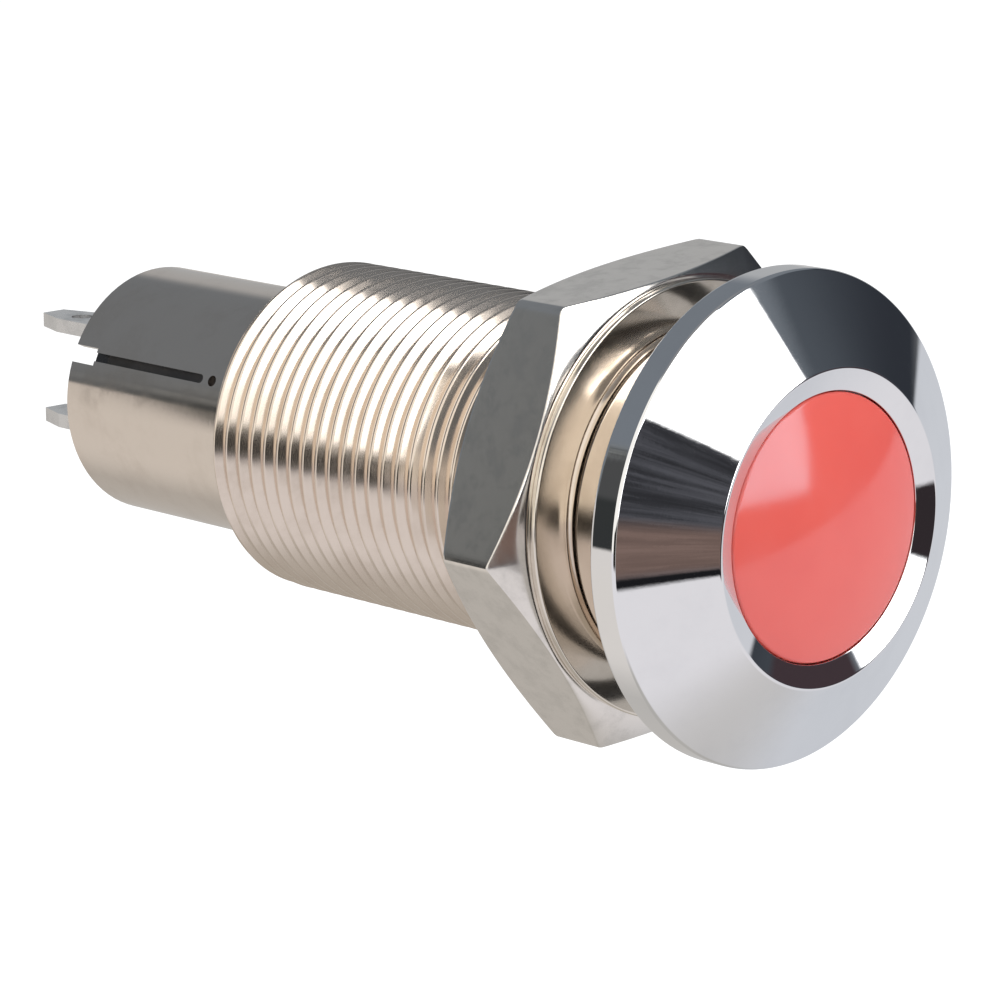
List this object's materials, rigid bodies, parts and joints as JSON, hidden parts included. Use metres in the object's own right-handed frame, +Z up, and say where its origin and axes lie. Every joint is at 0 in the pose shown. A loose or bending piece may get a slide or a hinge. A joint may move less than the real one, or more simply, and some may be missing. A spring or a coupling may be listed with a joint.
{
  "type": "panel pilot light",
  "caption": "Round panel pilot light: chromed bezel with a domed red lens, threaded barrel with hexagon panel nut, slotted tail tube and flat terminal tabs.",
  "frame": {"origin": "centre of the bezel's rear face, on the barrel's axis, where the panel seats", "axes": "-Y out of the lens, +Y along the barrel to the terminals, +Z up"},
  "size_m": [0.0264, 0.0607, 0.025],
  "materials": {
    "chrome_plate": "mirror",
    "red_lens": "gloss",
    "black_rubber": "matte",
    "nickel_plate": "bright turned",
    "nut_plate": "satin",
    "washer_brass": "bright",
    "milky_plastic": "matte",
    "red_lamp": "gloss",
    "board_laminate": "satin",
    "resistor_coat": "satin",
    "black_plastic": "satin",
    "black_resin": "gloss",
    "liner_film": "satin",
    "tin": "bright"
  },
  "bodies": {
    "housing": {"bezel": "chrome_plate", "lens": "red_lens", "lens_seal": "black_rubber", "panel_gasket": "black_rubber", "threaded_barrel": "nickel_plate", "tail_sleeve": "nickel_plate", "diffuser": "milky_plastic", "lamp_holder": "milky_plastic", "led": "red_lamp", "circuit_board": "board_laminate", "dropping_resistor": "resistor_coat", "rectifier_diode": "black_plastic", "solder_joints": "tin", "insulating_liner": "liner_film", "terminal_block": "black_plastic", "potting": "black_resin", "terminal_upper": "tin", "terminal_lower": "tin"},
    "washer": {"lock_washer": "washer_brass"},
    "nut": {"hex_nut": "nut_plate"}
  },
  "joints": [
    {"name": "nut_travel", "type": "slide", "parent": "housing", "child": "washer", "axis": [0, 1, 0], "range_m": [-0.0046, 0.0212]},
    {"name": "nut_spin", "type": "hinge", "parent": "washer", "child": "nut", "pos_m": [0, 0.0078, 0], "axis": [0, 1, 0], "range_deg": [-1620, 7560]}
  ],
  "couplings": [
    {"joint": "nut_travel", "follows": "nut_spin", "m_per_rad": 0.00015915}
  ]
}
